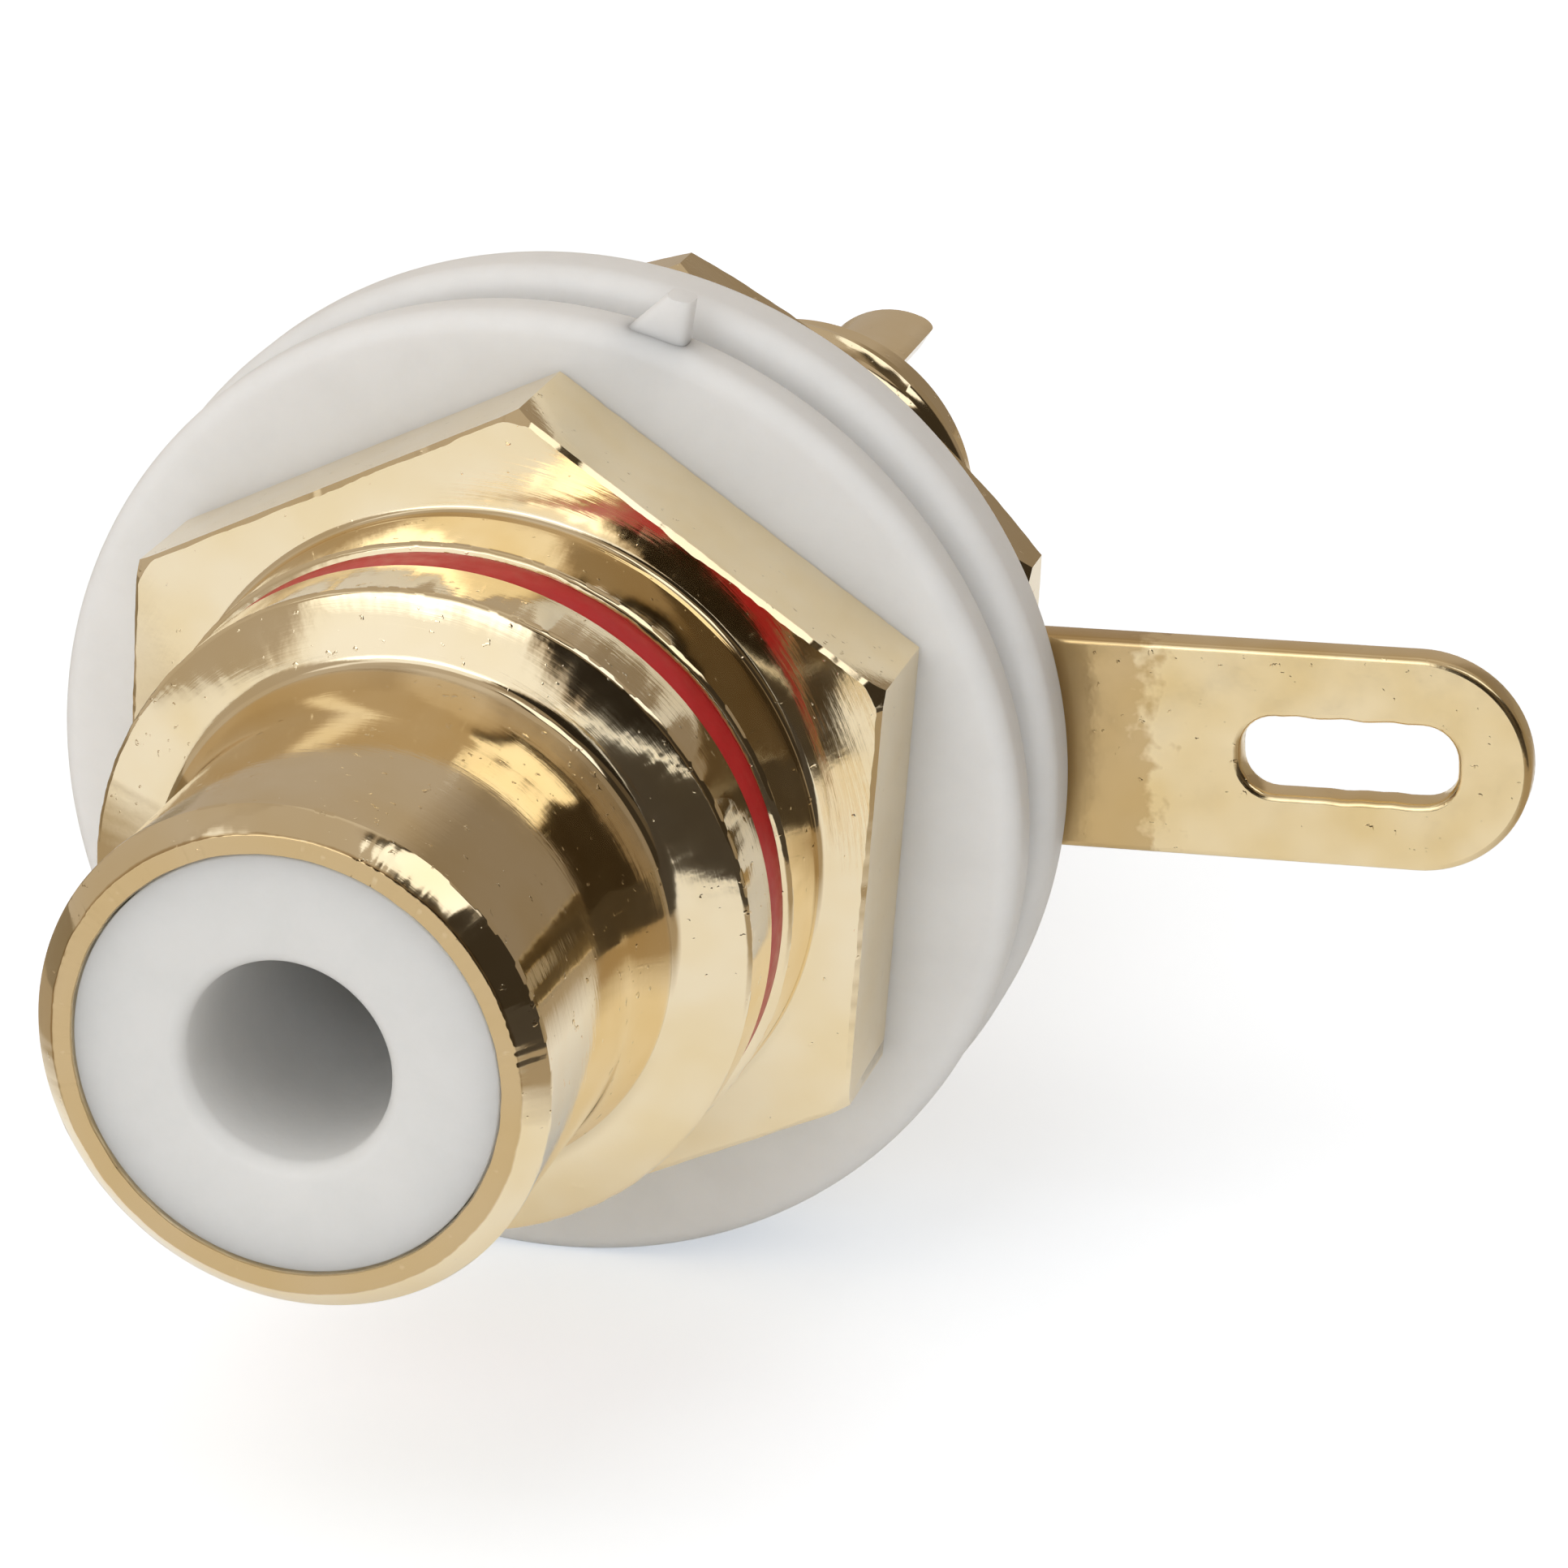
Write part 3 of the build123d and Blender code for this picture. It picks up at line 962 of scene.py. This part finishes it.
def inside(angle, limits, soft):
    """1 between two limits and 0 outside, with soft ends; None is no limit."""
    low, high = limits
    if low is None:
        return world_math("MULTIPLY_ADD", angle, -1 / soft, high / soft + 0.5, clamped=True)
    if high is None:
        return world_math("MULTIPLY_ADD", angle, 1 / soft, 0.5 - low / soft, clamped=True)
    off_centre = world_math("ABSOLUTE", world_math("SUBTRACT", angle, (low + high) / 2))
    return world_math("MULTIPLY_ADD", off_centre, -1 / soft, (high - low) / 2 / soft + 0.5, clamped=True)


def studio_zone(level, azimuths, elevations, zone_level, soft):
    """Brightness of the studio, with one more zone of it between azimuths and elevations."""
    mask = inside(ray_elevation, elevations, soft)
    if azimuths:
        mask = world_math("MULTIPLY", mask, inside(ray_azimuth, azimuths, soft))
    mixed = add(world_tree, "ShaderNodeMix", data_type="FLOAT", Factor=mask, A=level, B=zone_level)
    return mixed.outputs["Result"]


dark_tint = (1.0, 0.76, 0.5)
white_tint = (1.0, 1.0, 1.0)
room_level = 0.45


def studio_part(zones):
    """Background with zones of brightness, which is warmer where it is darker."""
    level = room_level
    for zone in zones:
        level = studio_zone(level, *zone)
    tint = mix_colour(world_tree, ranged(world_tree, level, 0.1, 1.0, 0.0, 1.0), dark_tint, white_tint)
    return add(world_tree, "ShaderNodeBackground", Color=tint, Strength=level).outputs["Background"]


def chosen(factor, first, second):
    """The first of two backgrounds where the factor is 0, and the second where it is 1."""
    node = add(world_tree, "ShaderNodeMixShader", _0=factor, _1=first, _2=second)
    return node.outputs["Shader"]


# Zones of the studio by direction. Each lies over those before it and has its azimuths, its elevations, its
# brightness, where 1 is white, and the width of its soft edges, with the angles in degrees. The left, the right
# and the rear have lists of their own, so that each ray works out only the zones near it
ceiling_zone = (None, (74, None), 0.6, 8.0)
high_zone = ((-62, 20), (45, 78), 0.5, 5.0)
middle_zones = [
    ((-4, 27), (25, 46), 0.3, 5.0),
    ((-4, 25), (None, 28), 0.02, 4.0),
]
left_zones = [
    ((-110, -65), (None, 60), 0.5, 12.0),
    ((-65, -31), (None, 34), 0.45, 5.0),
    ceiling_zone,
    high_zone,
    ((-62, -33), (37, 48), 0.9, 5.0),
    *middle_zones,
    ((-31, -4), (None, 12), 1.0, 4.0),
    ((-31, -4), (12, 27), 2.0, 4.0),
    ((-33, 0), (26, 46), 1.0, 5.0),
]
right_zones = [
    ceiling_zone,
    high_zone,
    ((82, 170), (None, 45), 0.27, 10.0),
    ((27, 88), (None, 68), 0.04, 5.0),
    ((24, 45), (None, 38), 0.1, 5.0),
    ((22, 37), (50, 62), 1.2, 2.0),
    ((35, 47), (42, 62), 1.3, 2.0),
    ((45, 78), (34, 62), 1.3, 2.0),
    *middle_zones,
]
# Azimuths where the parts of the studio change. No zone that a part leaves out reaches into it
left_part_start, right_part_start, right_part_end = -116.0, 2.5, 175.0
front_centre = (left_part_start + right_part_end) / 2
off_front = world_math("ABSOLUTE", world_math("SUBTRACT", ray_azimuth, front_centre))
is_rear = world_math("GREATER_THAN", off_front, (right_part_end - left_part_start) / 2)
is_right = world_math("GREATER_THAN", ray_azimuth, right_part_start)
front = chosen(is_right, studio_part(left_zones), studio_part(right_zones))
studio = chosen(is_rear, front, studio_part([ceiling_zone]))
backdrop = world_tree.nodes["Background"]
backdrop.inputs["Color"].default_value = (*white_tint, 1)
backdrop.inputs["Strength"].default_value = 1.0
seen = chosen(ray_camera, studio, backdrop.outputs["Background"])
world_tree.links.new(seen, world_tree.nodes["World Output"].inputs["Surface"])


lamp_colour = (0.94, 0.975, 1.0)
lamp_distance = 400.0
lamp_width = 300.0


def softbox(name, azimuth, elevation, height, level):
    """Area lamp that faces the socket and isn't mirrored in it; level is its brightness, where 1 is white."""
    lamp = bpy.data.lights.new(name, "AREA")
    lamp.shape = "RECTANGLE"
    lamp.size = lamp_width * MM
    lamp.size_y = height * MM
    lamp.energy = level * pi * lamp_width * height * MM ** 2
    lamp.color = lamp_colour
    obj = bpy.data.objects.new(name, lamp)
    bpy.context.scene.collection.objects.link(obj)
    towards = direction(azimuth, elevation)
    obj.location = towards * lamp_distance * MM
    obj.rotation_mode = "QUATERNION"
    obj.rotation_quaternion = towards.to_track_quat("Z", "Y")
    obj.visible_camera = False
    obj.visible_glossy = False


softbox("overhead", -20, 68, height=300, level=1.35)
softbox("fill", 10, 12, height=260, level=1.9)
softbox("rear fill", 190, 13, height=260, level=1.5)

# Camera
lens = 121.12
sensor_width = 36.0
camera_target = Vector((3.79, 0.91, -0.50))
camera_distance = 91.4
camera_azimuth = 16.89
camera_elevation = 21.1
camera_roll = radians(-2.21)
camera_data = bpy.data.cameras.new("camera")
camera_data.lens = lens
camera_data.sensor_width = sensor_width
camera_data.clip_start = 0.001
camera_data.clip_end = 10
camera = bpy.data.objects.new("camera", camera_data)
bpy.context.scene.collection.objects.link(camera)
towards_camera = direction(camera_azimuth, camera_elevation)
camera.location = (camera_target + towards_camera * camera_distance) * MM
camera.rotation_mode = "QUATERNION"
camera.rotation_quaternion = (-towards_camera).to_track_quat("-Z", "Y") @ Quaternion((0, 0, 1), camera_roll)
bpy.context.scene.camera = camera
bpy.context.scene.view_settings.view_transform = "Standard"
